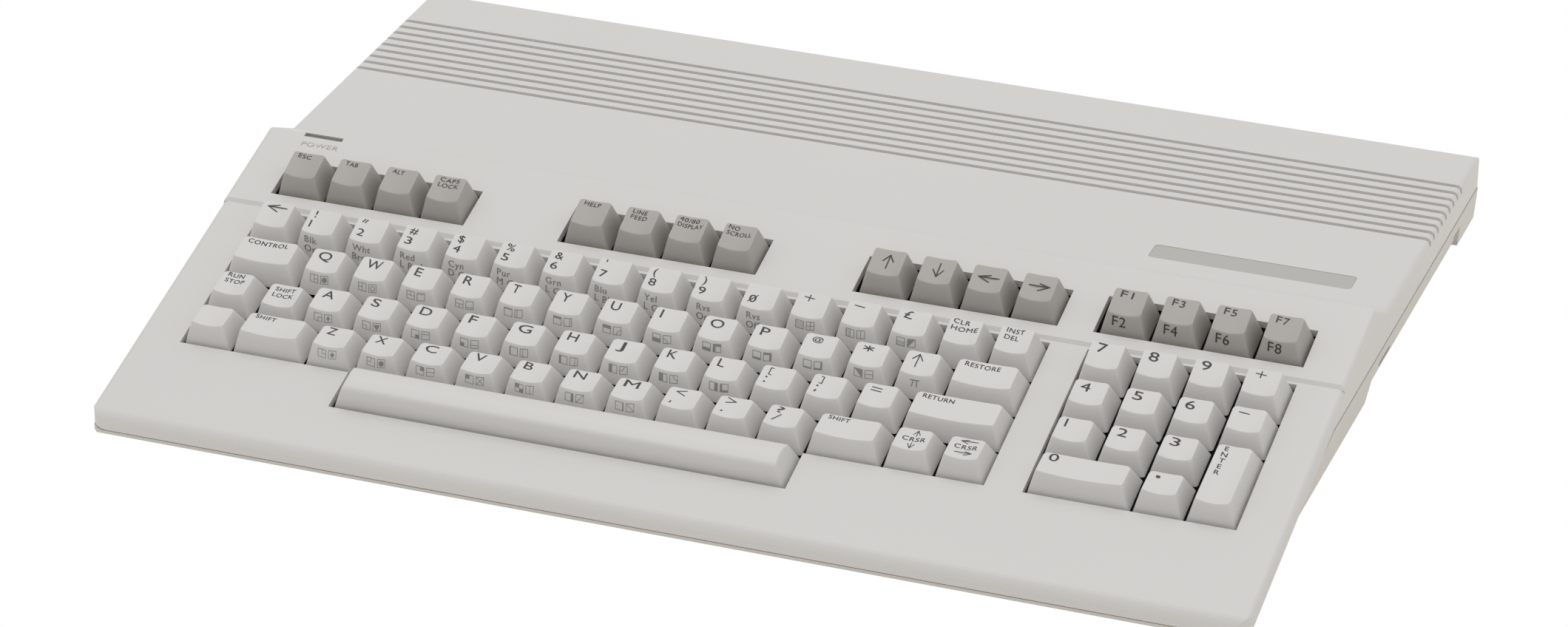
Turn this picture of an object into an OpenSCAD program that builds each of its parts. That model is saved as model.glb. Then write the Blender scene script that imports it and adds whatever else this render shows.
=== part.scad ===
// Vintage home computer: keyboard, electronics and case in one low wedge.
// Millimetres. X across, +Y to the back, Z up from the table.

/* [Case] */
// width over the side creases of the top case
case_width = 429.6; // [427:0.1:440]
// depth from the front seam to the rear wall
case_depth = 318; // [317:0.5:322]
// tilt of the keyboard deck
deck_angle = 14.6; // [14.2:0.1:15.2]
// height of the deck at the front of the bottom letter row
deck_height = 28; // [27.5:0.1:30]
// height of the flat rear top
rear_height = 50.6; // [49.5:0.1:52]
// height of the level part of the seam
seam_height = 38.4; // [37.5:0.1:39]
// wall of the top case
top_wall = 3; // [2.6:0.1:3.2]
// wall of the bottom case
base_wall = 2.5; // [2:0.1:2.8]
// radius of the front roll
roll_radius = 5.5; // [4:0.1:5.5]
// radius of the roll along the top rear edge
rear_roll = 2.6; // [1.6:0.1:2.9]
// radius of the rear corners seen from above
rear_corner = 2; // [1.5:0.5:6]
// radius of the front corners seen from above
front_corner = 7; // [4:0.5:8]
// radius of the roll along the upper side edges
side_roll = 2.2; // [1.2:0.1:2.6]
// height of the step across the deck behind the number row
deck_step = 1; // [0.4:0.1:1.2]
// height of the underside of the rim
rim_height = 24.4; // [23:0.1:26]

/* [Rear grooves] */
// number of grooves
groove_count = 9; // [5:1:10]
// distance between grooves
groove_pitch = 5.98; // [5.6:0.02:6.4]
// width of a groove
groove_width = 2.3; // [1.6:0.1:2.8]
// depth of a groove
groove_depth = 1.3; // [0.8:0.1:1.9]
// how far the grooves run down the sides
groove_drop = 3; // [2:0.1:4]

/* [Keys] */
// case width, in spaces from key to key
width_in_keys = 22.5512; // [22.53:0.001:22.7]
// gap between the skirts of neighbouring keys
cap_gap = 1.05; // [0.8:0.05:1.6]
// how far the sides of a key lean in
cap_lean = 2.85; // [2:0.05:3.2]
// depth of the dish in a key top
cap_dish = 1.1; // [0.5:0.1:1.3]
// how far a key goes down
key_travel = 3.8; // [2.5:0.1:4]
// how far down the shift lock is latched
lock_drop = 2; // [1:0.1:2.4]
// side of the square key stem
stem_side = 5; // [4:0.1:5.2]
// gap around the keys in the top case
opening_gap = 0.6; // [0.4:0.05:0.9]

/* [Boards] */
// thickness of the circuit boards
board_thickness = 1.6; // [1.2:0.1:2]
// height of the main board's lower face over the floor
board_lift = 5; // [4.5:0.1:5.5]
// height of the upper shield over the main board
shield_height = 15; // [13:0.5:17]
// thickness of the shield metal
shield_metal = 0.8; // [0.5:0.1:1]

/* [Feet and screws] */
// radius of a rubber foot
foot_radius = 8; // [6:0.5:10]
// height of a rubber foot
foot_height = 4; // [3.5:0.1:4.5]
// radius of the case screw shanks
case_screw_radius = 1.5; // [1.2:0.1:1.8]
// radius of the small screw shanks
small_screw_radius = 1.1; // [0.9:0.05:1.3]

/* [Controls] */
// length of the power rocker
rocker_length = 17; // [14:0.5:19]
// angle between the two places of the power rocker
rocker_swing = 14; // [8:1:18]
// side of the square reset button
reset_side = 5; // [4:0.2:6]
// travel of the reset button
reset_travel = 1.5; // [0.8:0.1:2]
// travel of the channel switch
channel_travel = 4; // [2.5:0.5:5]

/* [Hidden] */
eps = 0.02;
fit = 0.2;             // sliding clearance on each side
gap = 0.3;             // clearance around a round part
half_w = case_width / 2;
front_y = -case_depth / 2;
rear_y = case_depth / 2;
deck_run = 42.9;        // front seam to the foot of the bottom letter row
deck_y = front_y + deck_run;
u = case_width / width_in_keys;   // distance between neighbouring keys
lattice_x = -20.75 * u / 2;

// ---- case outline -------------------------------------------------------
seam_z = -5.6;         // seam below the deck, along its normal
lip_z = -8;            // underside of the front lip
front_face = -45.8;    // front face along the deck
step_y = 4.0945 * u;    // foot of the step along the deck
ridge_y = 6.391 * u;    // ridge along the deck
slope_angle = 24.6;    // fall behind the ridge
seam_gap = 0.6;        // height of the shadow groove under the top case
seam_deep = 1;         // depth of the shadow groove
rim_out = 0.2;         // rim outside the top case wall
rim_lean = 1.3;        // lean of the rim over its height

function dk(y, z) = [y * cos(deck_angle) - z * sin(deck_angle) + deck_y,
                     y * sin(deck_angle) + z * cos(deck_angle) + deck_height];
function arc(c, r, a0, a1, n) =
  [for (i = [0:n]) [c[0] + r * cos(a0 + (a1 - a0) * i / n), c[1] + r * sin(a0 + (a1 - a0) * i / n)]];
function deck_line_y(z, h) = (h - deck_height - z * cos(deck_angle)) / sin(deck_angle);

kink = [dk(deck_line_y(seam_z, seam_height), seam_z)[0], seam_height];
ridge = dk(ridge_y, deck_step);
slope_foot = [ridge[0] + (ridge[1] - rear_height) / tan(slope_angle), rear_height];
floor_under = foot_height;
floor_top = floor_under + base_wall;
rim_turn = dk(deck_line_y(lip_z, rim_height), lip_z);

step_run = 1.4;        // depth of the slanted face of the step
top_outline = concat(
  [dk(front_face, seam_z)],
  [for (p = arc([front_face + roll_radius, -roll_radius], roll_radius, 180, 90, 8)) dk(p[0], p[1])],
  [dk(step_y, 0), dk(step_y + step_run, deck_step), ridge, slope_foot],
  arc([rear_y - rear_roll, rear_height - rear_roll], rear_roll, 90, 0, 5),
  [[rear_y, seam_height], kink]);
// inner outline, with plain corners
top_inner = [dk(front_face + top_wall, seam_z - 4), dk(front_face + top_wall, -top_wall),
  dk(step_y + 1, -top_wall), dk(step_y + 1 + step_run, deck_step - top_wall),
  dk(ridge_y - top_wall * tan((deck_angle + slope_angle) / 2), deck_step - top_wall),
  [slope_foot[0] - top_wall * tan(slope_angle / 2), rear_height - top_wall],
  [rear_y - top_wall, rear_height - top_wall], [rear_y - top_wall, seam_height - 4],
  [kink[0] + 2, seam_height - 4]];

plan = concat(
  arc([half_w - rear_corner, rear_y - rear_corner], rear_corner, 0, 90, 5),
  arc([-half_w + rear_corner, rear_y - rear_corner], rear_corner, 90, 180, 5),
  arc([-half_w + front_corner, front_y + front_corner], front_corner, 180, 270, 5),
  arc([half_w - front_corner, front_y + front_corner], front_corner, 270, 360, 5));
function grow(p, d) = [for (q = p) [q[0] * (half_w + d) / half_w, q[1] * (rear_y + d) / rear_y]];

// ---- keyboard levels, along the deck normal ---------------------------------
skirt_z = -2.6;
frame_top = skirt_z - key_travel - 0.4;
frame_thick = 2.2;
stem_end = frame_top - frame_thick - 0.4;
contact_top = stem_end - key_travel - 0.4;
contact_under = contact_top - board_thickness;
spring_top = -0.5;
frame_front = -1.11 * u;
frame_rear = 5.9 * u;
pan_half = half_w - 14.3;
pan_in = pan_half - base_wall;
frame_half = pan_in - 1;

// cap profiles: rear y, rear z, front y, front z, relative to the key centre
FN = [6.1, 9.5, -5.56, 7.87];
ROW1 = [5.65, 8.8, -5.7, 7.5];
ROW2 = [5.57, 7.45, -5.78, 7.03];
ROW3 = [5.73, 6.23, -5.92, 6.58];
ROW4 = [5.67, 6.06, -5.6, 7.14];
BAR = [5.6, 5.9, -5.6, 6.6];

fn_y = 4.5;
function each_unit(x, n, y, row) = [for (i = [0:n - 1]) [x + i, y, 1, 1, row]];
K_NUMBER = each_unit(0, 16, 3, ROW1);
K_TOP = each_unit(1.5, 13, 2, ROW2);
K_MIDDLE = concat(each_unit(0, 1, 1, ROW3), each_unit(2, 12, 1, ROW3));
K_BOTTOM = concat(each_unit(0, 1, 0, ROW4), each_unit(2.5, 10, 0, ROW4), each_unit(14, 2, 0, ROW4));
K_PAD = concat(each_unit(16.75, 4, 3, ROW1), each_unit(16.75, 4, 2, ROW2),
  each_unit(16.75, 3, 1, ROW3), each_unit(18.75, 1, 0, ROW4));
K_WIDE = [[0, 2, 1.5, 1, ROW2], [14.5, 2, 1.5, 1, ROW2], [1, 1, 1, 1, ROW3], [14, 1, 2, 1, ROW3],
  [1, 0, 1.5, 1, ROW4], [12.5, 0, 1.5, 1, ROW4], [19.75, 0, 1, 2, ROW4], [16.75, 0, 2, 1, ROW4]];
FN_X = [0, 1, 2, 3, 6, 7, 8, 9, 12, 13, 14, 15, 16.75, 17.75, 18.75, 19.75];
K_FN = [for (x = FN_X) [x, fn_y, 1, 1, FN]];
bar_x = 8;
bar_side = 2.75;
SINGLE = concat(K_NUMBER, K_TOP, K_MIDDLE, K_BOTTOM, K_PAD, K_WIDE, K_FN);
function key_at(k) = [lattice_x + (k[0] + k[2] / 2) * u, (k[1] + k[3] / 2) * u];
STEMS = concat([for (k = SINGLE) key_at(k)],
  [for (s = [-bar_side, 0, bar_side]) [lattice_x + (bar_x + s) * u, -u / 2]]);
function at(x, y) = [lattice_x + x * u, y * u];
FRAME_SCREWS = [at(1.4, -0.55), at(14.6, -0.55), at(19, -0.55), at(5, 5.68), at(10.8, 5.68), at(16.3, 5.68)];
BOARD_POSTS = [at(2.6, -0.5), at(13.6, -0.5), at(18, -0.5), at(1, 4.25), at(10.4, 4.25), at(20, 4.25)];

// ---- inside levels ------------------------------------------------------------
board_under = floor_top + board_lift;
board_top = board_under + board_thickness;
boss_top = board_top + 1;
back_wall = rear_y - 9;         // outer face of the recessed rear wall
back_in = back_wall - base_wall;
side_wall = pan_half;           // outer face of the connector wall
socket_z = board_top + 7;
recess_y0 = rear_y - 159;
recess_y1 = rear_y - 26;
recess_z = rim_height + 6.4;
back_recess = pan_half - 8;     // half width of the recess at the back
mid_screw_y = ridge[0] - 0.5;
screw_x = half_w - 64.8;
CASE_SCREWS = [[-half_w + 30, rear_y - 21], [half_w - 30, rear_y - 21], [-half_w + 38.8, mid_screw_y],
  [half_w - 38.8, mid_screw_y], [-screw_x, front_y + 18.5], [screw_x, front_y + 18.5]];
board_front = rear_y - 199;
BOARD_SCREWS = [for (p = [[-1, 12], [0, 12], [1, 12], [-1, 140], [0, 128], [1, 144]])
  [p[0] * screw_x, board_front + p[1]]];
FEET = [[-half_w + 45, rear_y - 29], [half_w - 45, rear_y - 29],
  [-half_w + 45, front_y + 38], [half_w - 45, front_y + 38]];
joy_y = [rear_y - 140, rear_y - 102];
reset_y = rear_y - 79.5;
switch_y = rear_y - 62;
power_y = rear_y - 38.5;
// places and widths along the back, in spaces from key to key
expansion_x = 7.66 * u;
expansion_half = 1.55 * u;
tape_x = 5.04 * u;
tape_half = 0.63 * u;
serial_x = 3.36 * u;
video_x = 2 * u;
channel_x = 0.73 * u;
rf_x = -0.42 * u;
monitor_x = -2.83 * u;
user_x = -6.72 * u;
user_half = 1.29 * u;
din_radius = 6.9;
plug_radius = 6.2;      // hole of a round socket

// ---- helpers ------------------------------------------------------------------
module along_x(pts, x0, x1) {
  translate([x0, 0, 0]) rotate([90, 0, 90]) linear_extrude(x1 - x0) polygon(pts);
}
module along_y(pts, y0, y1) {
  translate([0, y1, 0]) rotate([90, 0, 0]) linear_extrude(y1 - y0) polygon(pts);
}
module block(x0, x1, y0, y1, z0, z1) {
  translate([x0, y0, z0]) cube([x1 - x0, y1 - y0, z1 - z0]);
}
module on_deck() {
  translate([0, deck_y, deck_height]) rotate([deck_angle, 0, 0]) children();
}
module post(p, side, z0, z1) {
  block(p[0] - side / 2, p[0] + side / 2, p[1] - side / 2, p[1] + side / 2, z0, z1);
}
module bore(p, r, z0, z1) {
  translate([p[0], p[1], z0]) cylinder(r = r, h = z1 - z0, $fn = 24);
}
module screw(p, r, head, head_tall, z, length, up) {
  // z is the face the head rests on
  translate([p[0], p[1], z]) mirror([0, 0, up ? 0 : 1]) {
    translate([0, 0, -head_tall]) cylinder(r = head, h = head_tall, $fn = 24);
    cylinder(r = r, h = length, $fn = 24);
  }
}

// ---- keys -----------------------------------------------------------------------
module cap(k) {
  c = key_at(k);
  hx = k[2] * u / 2 - cap_gap / 2;
  hy = k[3] * u / 2 - cap_gap / 2;
  more = (k[3] - 1) * u / 2;
  row = k[4];
  ry = row[0] + more;
  rz = row[1];
  fy = row[2] - more;
  fz = row[3];
  top = 12;
  mid = (rz + fz) / 2;
  lean = cap_lean / (mid - skirt_z);
  roof = min(rz, fz) - cap_dish - 1.2;
  wall = 1.3;
  half = hx - cap_lean - 0.3;
  r = (half * half + cap_dish * cap_dish) / (2 * cap_dish);
  a = asin(half / r);
  n = k[2] > 1.6 ? 8 : 6;
  translate([c[0], c[1], 0]) {
    difference() {
      intersection() {
        along_x([[-hy, skirt_z], [hy, skirt_z], [ry, rz], [fy, fz]], -hx, hx);
        along_y([[-hx, skirt_z], [hx, skirt_z], [hx - lean * (top - skirt_z), top],
          [-hx + lean * (top - skirt_z), top]], -hy, hy);
      }
      intersection() {
        along_x([[-hy + wall, skirt_z - 1], [hy - wall, skirt_z - 1], [ry - wall, roof],
          [fy + wall, roof]], -hx, hx);
        along_y([[-hx + wall, skirt_z - 1], [hx - wall, skirt_z - 1],
          [hx - cap_lean - wall, roof], [-hx + cap_lean + wall, roof]], -hy, hy);
      }
      translate([0, fy, fz]) rotate([atan2(rz - fz, ry - fy), 0, 0])
        along_y(concat(arc([0, r - cap_dish], r, 270 - a, 270 + a, n),
          [[half + 1, 0.3], [half + 1, 6], [-half - 1, 6], [-half - 1, 0.3]]), -9 - more, 3 * more + 22);
    }
    post([0, 0], stem_side, stem_end, roof + 0.4);
  }
}
module caps(list, tone) {
  color(tone) on_deck() for (k = list) cap(k);
}
module bar() {
  hx = 4.5 * u - cap_gap / 2;
  hy = u / 2 - cap_gap / 2;
  r = 16;
  tilt = atan2(BAR[1] - BAR[3], BAR[0] - BAR[2]);
  a = asin(5.9 / r);
  crown = [for (p = arc([0, -r * cos(a)], r, 90 + a, 90 - a, 6))
    [p[0] * cos(tilt) - p[1] * sin(tilt), p[0] * sin(tilt) + p[1] * cos(tilt) + (BAR[1] + BAR[3]) / 2]];
  roof = 3.6;
  top = 12;
  lean = cap_lean / (BAR[1] - skirt_z);
  color("#dcdad4") on_deck() translate([lattice_x + bar_x * u, -u / 2, 0]) {
    difference() {
      intersection() {
        along_x(concat([[hy, skirt_z], [-hy, skirt_z]], crown), -hx, hx);
        along_y([[-hx, skirt_z], [hx, skirt_z], [hx - lean * (top - skirt_z), top],
          [-hx + lean * (top - skirt_z), top]], -hy, hy);
      }
      along_x([[-hy + 1.4, skirt_z - 1], [hy - 1.4, skirt_z - 1], [4.4, roof], [-4.4, roof]],
        -hx + 3.4, hx - 3.4);
    }
    for (s = [-bar_side, 0, bar_side]) post([s * u, 0], stem_side, stem_end, roof + 0.5);
  }
}

pale = "#dcdad4";
grey = "#a5a39c";
module escape_key() caps([K_FN[0]], grey);
module tab_key() caps([K_FN[1]], grey);
module alternate_key() caps([K_FN[2]], grey);
module caps_lock_key() caps([K_FN[3]], grey);
module help_key() caps([K_FN[4]], grey);
module line_feed_key() caps([K_FN[5]], grey);
module column_switch_key() caps([K_FN[6]], grey);
module no_scroll_key() caps([K_FN[7]], grey);
module up_arrow_key() caps([K_FN[8]], grey);
module down_arrow_key() caps([K_FN[9]], grey);
module left_arrow_key() caps([K_FN[10]], grey);
module right_arrow_key() caps([K_FN[11]], grey);
module function_1_2_key() caps([K_FN[12]], grey);
module function_3_4_key() caps([K_FN[13]], grey);
module function_5_6_key() caps([K_FN[14]], grey);
module function_7_8_key() caps([K_FN[15]], grey);
module number_row_keys() caps(K_NUMBER, pale);
module top_letter_keys() caps(K_TOP, pale);
module middle_letter_keys() caps(K_MIDDLE, pale);
module bottom_letter_keys() caps(K_BOTTOM, pale);
module numpad_keys() caps(K_PAD, pale);
module control_key() caps([K_WIDE[0]], pale);
module restore_key() caps([K_WIDE[1]], pale);
module shift_lock_key() color(pale) on_deck() translate([0, 0, -lock_drop]) cap(K_WIDE[2]);
module return_key() caps([K_WIDE[3]], pale);
module left_shift_key() caps([K_WIDE[4]], pale);
module right_shift_key() caps([K_WIDE[5]], pale);
module numpad_enter_key() caps([K_WIDE[6]], pale);
module numpad_zero_key() caps([K_WIDE[7]], pale);
module space_bar() bar();

// ---- keyboard -------------------------------------------------------------------
module keyboard_frame() {
  color("#3c3c3e") on_deck() difference() {
    union() {
      block(-frame_half, frame_half, frame_front, frame_rear, frame_top - frame_thick, frame_top);
      for (p = BOARD_POSTS) post(p, 6, contact_top, frame_top - frame_thick + eps);
    }
    for (p = STEMS) post(p, stem_side + 2 * fit, frame_top - frame_thick - 1, frame_top + 1);
    for (p = FRAME_SCREWS)
      bore(p, small_screw_radius + gap, frame_top - frame_thick - 1, frame_top + 1);
    for (p = BOARD_POSTS) bore(p, small_screw_radius + gap, contact_top - 1, frame_top - 1);
  }
}
module keyboard_circuit_board() {
  color("#2e6b45") on_deck() difference() {
    block(-frame_half + 6, frame_half - 6, frame_front + 2, 5.45 * u, contact_under, contact_top);
    for (p = BOARD_POSTS) bore(p, small_screw_radius + gap, contact_under - 1, contact_top + 1);
    for (p = FRAME_SCREWS) if (p[1] < 0) bore(p, 3.2, contact_under - 1, contact_top + 1);
  }
}
module key_springs() {
  color("#b8bcc0") on_deck() for (p = STEMS) translate([p[0], p[1], frame_top])
    linear_extrude(spring_top - frame_top) difference() {
      polygon([for (i = [0:5]) (stem_side * 0.95) * [cos(60 * i), sin(60 * i)]]);
      polygon([for (i = [0:5]) (stem_side * 0.86) * [cos(60 * i), sin(60 * i)]]);
    }
}
module keyboard_screws() {
  color("#8f9296") on_deck() {
    for (p = FRAME_SCREWS)
      screw(p, small_screw_radius, 2.3, 1.3, frame_top - frame_thick, frame_thick + 2.6, true);
    for (p = BOARD_POSTS)
      screw(p, small_screw_radius, 2.3, 1.3, contact_under, board_thickness + 3, true);
  }
}
cable_x = -3.15 * u;
cable_board_y = board_front + 18;
module keyboard_cable() {
  // plug under the keyboard board, flat ribbon, plug on the main board
  a = dk(5.25 * u, contact_under);
  b = [cable_board_y, board_top];
  color("#c8c4b8") {
    on_deck() block(cable_x - 16, cable_x + 16, 5.25 * u - 3, 5.25 * u + 3, contact_under - 5, contact_under);
    block(cable_x - 16, cable_x + 16, b[0] - 3, b[0] + 3, b[1], b[1] + 6);
    along_x([[b[0] - 0.5, b[1] + 5.5], [b[0] + 0.5, b[1] + 5.5], [b[0] + 4.5, b[1] + 13],
      [a[0] + 2, a[1] - 4.6], [a[0] + 1, a[1] - 4.4], [b[0] + 3.5, b[1] + 13]], cable_x - 13, cable_x + 13);
  }
}

// ---- top case -------------------------------------------------------------------
module openings() {
  g = opening_gap;
  lo = -top_wall - 4;
  hi = 4;
  x0 = lattice_x;
  block(x0 - g + 0.4, x0 + 16 * u + g - 0.4, -g, 4 * u + g, lo, hi);
  block(x0 + 3.5 * u - g, x0 + 12.5 * u + g, -u - g, 0, lo, hi);
  block(x0 + 16.75 * u - g + 0.4, x0 + 20.75 * u + g - 0.4, -g, 4 * u + g, lo, hi);
  for (x = [0, 6, 12, 16.75])
    block(x0 + x * u - g - 0.2, x0 + (x + 4) * u + g - 0.4, fn_y * u - g, (fn_y + 1) * u + g, lo, hi);
}
// rounds the upper side edges along each run of the outline
roll_over = 0.04;       // how far a side roll's cutter reaches past the faces that it joins
roll_reach = 6;         // how high and deep a run of the cutter is cut off
roll_past = 3;          // how far two runs cross at the ridge
DECK_UP = [-sin(deck_angle), cos(deck_angle)];
SLOPE_UP = [sin(slope_angle), cos(slope_angle)];
FOOT_UP = [sin(slope_angle / 2), cos(slope_angle / 2)];
// each run of the upper side edge: its two ends, and the way that its cutter is cut off at each
ROLL_RUNS = [[dk(front_face - 1, 0), dk(step_y - 2 * roll_over, 0), DECK_UP, DECK_UP],
  [dk(step_y - 1, deck_step), dk(ridge_y + roll_past, deck_step), DECK_UP, DECK_UP],
  [ridge + roll_past * [-cos(slope_angle), sin(slope_angle)], slope_foot, SLOPE_UP, FOOT_UP],
  [slope_foot, [rear_y + 1, rear_height], FOOT_UP, [0, 1]]];
module side_rolls() {
  for (run = ROLL_RUNS) {
    way = run[1] - run[0];
    lap = roll_over * way / norm(way);
    intersection() {
      translate([0, run[0][0], run[0][1]]) rotate([atan2(way[1], way[0]), 0, 0]) for (s = [0, 1])
        mirror([s, 0, 0])
          along_y(concat(arc([half_w - side_roll, -side_roll], side_roll + roll_over, 90, 0, 6),
            [[half_w + 1, -side_roll], [half_w + 1, 1], [half_w - side_roll, 1]]),
            -roll_reach, norm(way) + roll_reach);
      along_x([run[0] - lap - roll_reach * run[2], run[1] + lap - roll_reach * run[3],
        run[1] + lap + roll_reach * run[3], run[0] - lap + roll_reach * run[2]], -half_w - 2, half_w + 2);
    }
  }
}
lamp_x = -half_w + 15.2;
lamp_wide = 15.4;
lamp_y = ridge_y - 2.15;
lamp_deep = 2.3;
window_sunk = 0.9;
groove_y = rear_y - 78.6;
groove_in = 0.8;       // how deep a groove cuts into the side
module grooves() {
  for (i = [0:groove_count - 1]) {
    y = groove_y + i * groove_pitch;
    block(-half_w - 1, half_w + 1, y, y + groove_width, rear_height - groove_depth, rear_height + 1);
    for (s = [-1, 1])
      block(s < 0 ? -half_w - 1 : half_w - groove_in, s < 0 ? -half_w + groove_in : half_w + 1,
        y, y + groove_width, rear_height - groove_drop, rear_height + 1);
  }
}
badge_x0 = half_w - 93.2;
badge_x1 = half_w - 17;
badge_y0 = slope_foot[0] + 9.7;
badge_y1 = badge_y0 + 10.9;
module badge_shape(d) {
  r = 1.5;
  linear_extrude(0.8 + d) polygon(concat(
    arc([badge_x1 - r + d, badge_y1 - r + d], r, 0, 90, 2),
    arc([badge_x0 + r - d, badge_y1 - r + d], r, 90, 180, 2),
    arc([badge_x0 + r - d, badge_y0 + r - d], r, 180, 270, 2),
    arc([badge_x1 - r + d, badge_y0 + r - d], r, 270, 360, 2)));
}
module top_case() {
  color(pale) difference() {
    union() {
      difference() {
        intersection() {
          along_x(top_outline, -half_w, half_w);
          linear_extrude(100) polygon(plan);
        }
        along_x(top_inner, -half_w + top_wall, half_w - top_wall);
      }
      for (p = CASE_SCREWS) intersection() {
        post(p, 8, boss_top, 100);
        along_x([[front_y + 2, 0], dk(front_face + 2, -1), dk(ridge_y - 1, deck_step - 1),
          [slope_foot[0], rear_height - 1], [rear_y - 2, rear_height - 1], [rear_y - 2, 0]], -half_w, half_w);
      }
      on_deck() for (p = FRAME_SCREWS) post(p, 7, frame_top, deck_step - top_wall + 0.5);
    }
    on_deck() openings();
    side_rolls();
    grooves();
    translate([0, 0, rear_height - 0.8]) badge_shape(0);
    on_deck() block(lamp_x, lamp_x + lamp_wide, lamp_y, lamp_y + lamp_deep, -8, 3);
    for (p = CASE_SCREWS) bore(p, case_screw_radius + gap, boss_top - 1, boss_top + 6);
    on_deck() for (p = FRAME_SCREWS) bore(p, small_screw_radius + gap, frame_top - 1, frame_top + 3);
  }
}
module name_badge() {
  color("#a8a7a2") translate([0, 0, rear_height - 0.8]) badge_shape(-0.1);
}
module power_lamp_lens() {
  color("#7c2a22") on_deck()
    block(lamp_x + 0.05, lamp_x + lamp_wide - 0.05, lamp_y + 0.05, lamp_y + lamp_deep - 0.05,
      -4.2, deck_step - window_sunk);
}
module power_lamp() {
  color("#d8483a") on_deck() block(lamp_x + 4, lamp_x + 11, lamp_y - 0.6, lamp_y + lamp_deep + 0.6, -9, -4.2);
}

// ---- bottom case ------------------------------------------------------------------
under_seam = [dk(front_face, seam_z), dk(front_face + 0.5, lip_z), [front_y + 11, floor_under],
  [back_wall, floor_under], [back_wall, rim_height], [rear_y, rim_height], [rear_y, seam_height], kink];
pan_inside = [dk(front_face + 3, seam_z + 4), dk(front_face + 3, seam_z),
  [front_y + 11.8, floor_top], [back_in, floor_top], [back_in, recess_z + base_wall],
  [rear_y - base_wall, recess_z + base_wall], [rear_y - base_wall, seam_height + 4],
  [kink[0], seam_height + 4]];
rim_side = [dk(front_face, seam_z), dk(front_face + 0.5, lip_z), rim_turn, [rear_y, rim_height],
  [rear_y, seam_height], kink];
module port(y, wide, z0, z1) {
  block(pan_in - 1, side_wall + 1, y - wide / 2, y + wide / 2, z0, z1);
}
module back_port(x, wide, z0, z1) {
  block(x - wide / 2, x + wide / 2, back_in - 1, back_wall + 1, z0, z1);
}
module seam_groove() {
  difference() {
    along_x([dk(front_face - 1, seam_z), dk(front_face - 1, seam_z - seam_gap),
      [kink[0], seam_height - seam_gap],
      [rear_y + 1, seam_height - seam_gap], [rear_y + 1, seam_height], kink], -half_w - 2, half_w + 2);
    linear_extrude(100) polygon(grow(plan, rim_out - seam_deep));
  }
}
module bottom_case() {
  a = half_w + rim_out - rim_lean - base_wall;
  shelf = rim_height + base_wall;
  cut_y = kink[0] - 30;
  color("#cfcdc6") difference() {
    union() {
      difference() {
        intersection() {
          union() {
            along_x(under_seam, -pan_half, pan_half);
            along_x(rim_side, -half_w - rim_out, half_w + rim_out);
          }
          linear_extrude(100) polygon(grow(plan, rim_out));
          along_y([[-half_w - rim_out, seam_height], [-half_w - rim_out + rim_lean, rim_height],
            [-half_w - rim_out + rim_lean, 0], [half_w + rim_out - rim_lean, 0],
            [half_w + rim_out - rim_lean, rim_height], [half_w + rim_out, seam_height]],
            front_y - 1, rear_y + 1);
        }
        // inside of the pan and of the rim
        along_x(pan_inside, -pan_in, pan_in);
        block(-a, -pan_in + 1, cut_y, rear_y - base_wall, shelf, 100);
        for (x = [-pan_in, back_recess + base_wall])
          block(x, x + pan_in - back_recess - base_wall, back_in - 1, rear_y - base_wall, shelf, 100);
        block(pan_in - 1, a, cut_y, recess_y0 - base_wall, shelf, 100);
        block(pan_in - 1, a, recess_y1 + base_wall, rear_y - base_wall, shelf, 100);
        block(pan_in - 1, a, recess_y0 - base_wall - 1, recess_y1 + base_wall + 1, recess_z + base_wall, 100);
        // connector recesses at the back and on the right
        block(-back_recess, back_recess, back_wall, rear_y + 1, 0, recess_z);
        along_x([[recess_y0 - 4, 0], [recess_y0 - 4, rim_height - eps], [recess_y0 + 2, recess_z],
          [recess_y1, recess_z], [recess_y1, 0]], side_wall, half_w + 2);
        // relief over the power socket and finger slot over the front joystick socket
        block(half_w - 2.2, half_w + 2, recess_y1 - 31, recess_y1, 0, recess_z + 2);
        block(half_w - 3, half_w + 2, joy_y[0] - 8, joy_y[0] + 8, recess_z + 1, recess_z + 2.6);
      }
      block(half_w - 4.8, half_w - 2.2, recess_y1 - 31, recess_y1 + eps, recess_z - 4, recess_z + eps);
      for (p = CASE_SCREWS) post(p, 9, floor_top - eps, boss_top);
      for (p = BOARD_SCREWS) post(p, 8, floor_top - eps, board_under);
    }
    seam_groove();
    for (p = CASE_SCREWS) {
      bore(p, case_screw_radius + gap, 0, boss_top + 1);
      bore(p, 3.6, 0, floor_under + 2);
    }
    for (p = BOARD_SCREWS) bore(p, small_screw_radius + gap, floor_top + 1, board_under + 1);
    for (y = joy_y) port(y, 19.6, socket_z - 5.4, socket_z + 5.4);
    port(reset_y, reset_side + 2 * fit, socket_z - reset_side / 2 - fit, socket_z + reset_side / 2 + fit);
    port(switch_y, rocker_length + 3, socket_z - 5.3, socket_z + 5.3);
    port(power_y, 15.4, socket_z - 6.7, socket_z + 6.7);
    back_port(expansion_x, 2 * expansion_half + 2, board_top - 0.6, board_top + 12.6);
    back_port(tape_x, 2 * tape_half + 5, board_under - 3, board_top + 5);
    for (x = [serial_x, video_x]) translate([x, back_wall + 1, socket_z])
      rotate([90, 0, 0]) cylinder(r = din_radius + 0.5, h = base_wall + 2, $fn = 32);
    back_port(channel_x, 10.5, socket_z - 2.4, socket_z + 2.4);
    translate([rf_x, back_wall + 1, socket_z]) rotate([90, 0, 0])
      cylinder(r = 4.8, h = base_wall + 2, $fn = 32);
    back_port(monitor_x, 19.6, socket_z - 5.4, socket_z + 5.4);
    back_port(user_x, 2 * user_half + 6, board_under - 3, board_top + 5);
  }
}
module rubber_feet() {
  color("#2b2b2b") for (p = FEET) bore(p, foot_radius, 0, foot_height);
}
module case_screws() {
  color("#8f9296") for (p = CASE_SCREWS)
    screw(p, case_screw_radius, 3, 1.6, floor_under + 2, boss_top + 4.5 - floor_under - 2, true);
}

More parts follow.
